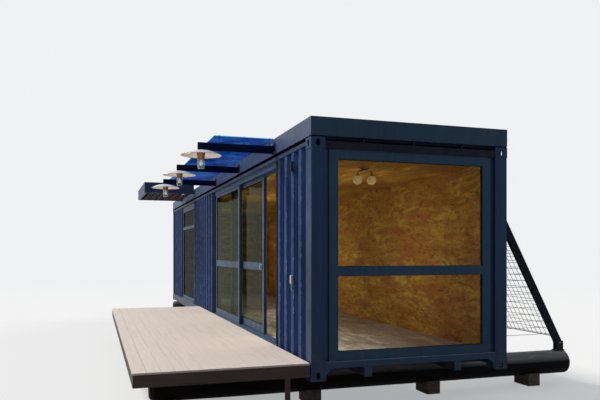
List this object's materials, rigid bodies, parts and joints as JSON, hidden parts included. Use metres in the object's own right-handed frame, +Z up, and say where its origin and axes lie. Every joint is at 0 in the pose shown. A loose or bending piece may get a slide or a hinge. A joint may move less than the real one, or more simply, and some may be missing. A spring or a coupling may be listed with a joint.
{
  "type": "shipping container cabin",
  "caption": "Single-room cabin made from a steel freight container, glazed end and sliding door, planted roof tray, side deck, lamp canopy and pole foundation.",
  "frame": {"origin": "on level ground under the middle of the whole footprint, deck and poles included", "axes": "+Z up, +Y along the container away from its glazed end, +X from the deck side to the screen side"},
  "size_m": [5.86, 12.192, 3.358],
  "materials": {
    "navy_steel": "satin paint",
    "galvanised": "dull zinc",
    "glass": "clear",
    "bamboo_lining": "satin varnish",
    "floor_boards": "satin varnish",
    "growing_medium": "loose and matt",
    "canopy_blue": "clear tinted sheet",
    "slat_wood": "oiled",
    "shade_enamel": "satin enamel",
    "holder_bronze": "bronze",
    "jar_glass": "clear",
    "globe_glass": "opal",
    "deck_grey": "matt paint",
    "deck_dark": "matt paint",
    "timber": "weathered",
    "pole_wood": "creosote",
    "wire": "dull zinc",
    "aluminium_frame": "satin paint",
    "roller_plastic": "smooth",
    "fitting_grey": "smooth"
  },
  "bodies": {
    "cabin": {"corner_castings": "navy_steel", "corner_posts": "navy_steel", "side_rails": "navy_steel", "end_headers": "navy_steel", "front_sill": "navy_steel", "rear_sill": "navy_steel", "gooseneck_tunnel": "navy_steel", "cross_members": "navy_steel", "floor": "floor_boards", "left_wall_front": "navy_steel", "left_wall_middle": "navy_steel", "left_wall_rear": "navy_steel", "right_wall": "navy_steel", "back_wall": "navy_steel", "roof_sheet": "navy_steel", "ceiling_lining": "bamboo_lining", "left_lining": "bamboo_lining", "right_lining": "bamboo_lining", "back_lining": "bamboo_lining", "end_fascias": "navy_steel", "side_fascias": "navy_steel", "fascia_brackets": "navy_steel", "roof_tray": "galvanised", "growing_medium": "growing_medium", "front_window_frame": "navy_steel", "front_window_glass": "glass", "side_door_frame": "aluminium_frame", "fixed_leaf_frame": "aluminium_frame", "fixed_leaf_glass": "glass", "rear_window_frame": "aluminium_frame", "rear_window_glass": "glass", "canopy_beams": "navy_steel", "canopy_panel": "canopy_blue", "slat_canopy_frame": "navy_steel", "slat_canopy_slats": "slat_wood", "lamp_shades": "shade_enamel", "lamp_holders": "holder_bronze", "lamp_jars": "jar_glass", "room_light": "globe_glass", "deck_boards": "deck_grey", "deck_fascia": "deck_dark", "deck_joists": "timber", "deck_props": "deck_dark", "deck_packers": "timber", "foundation_poles": "pole_wood", "pole_blocks": "timber", "screen_struts": "navy_steel", "screen_panels": "wire", "vent_cover": "fitting_grey", "socket_box": "fitting_grey"},
    "sliding_leaf": {"sliding_leaf_frame": "aluminium_frame", "sliding_leaf_glass": "glass", "sliding_leaf_rollers": "roller_plastic", "door_pull": "fitting_grey"}
  },
  "joints": [
    {"name": "door_slide", "type": "slide", "parent": "cabin", "child": "sliding_leaf", "axis": [0, 1, 0], "range_m": [-0.82, 1.11]}
  ]
}
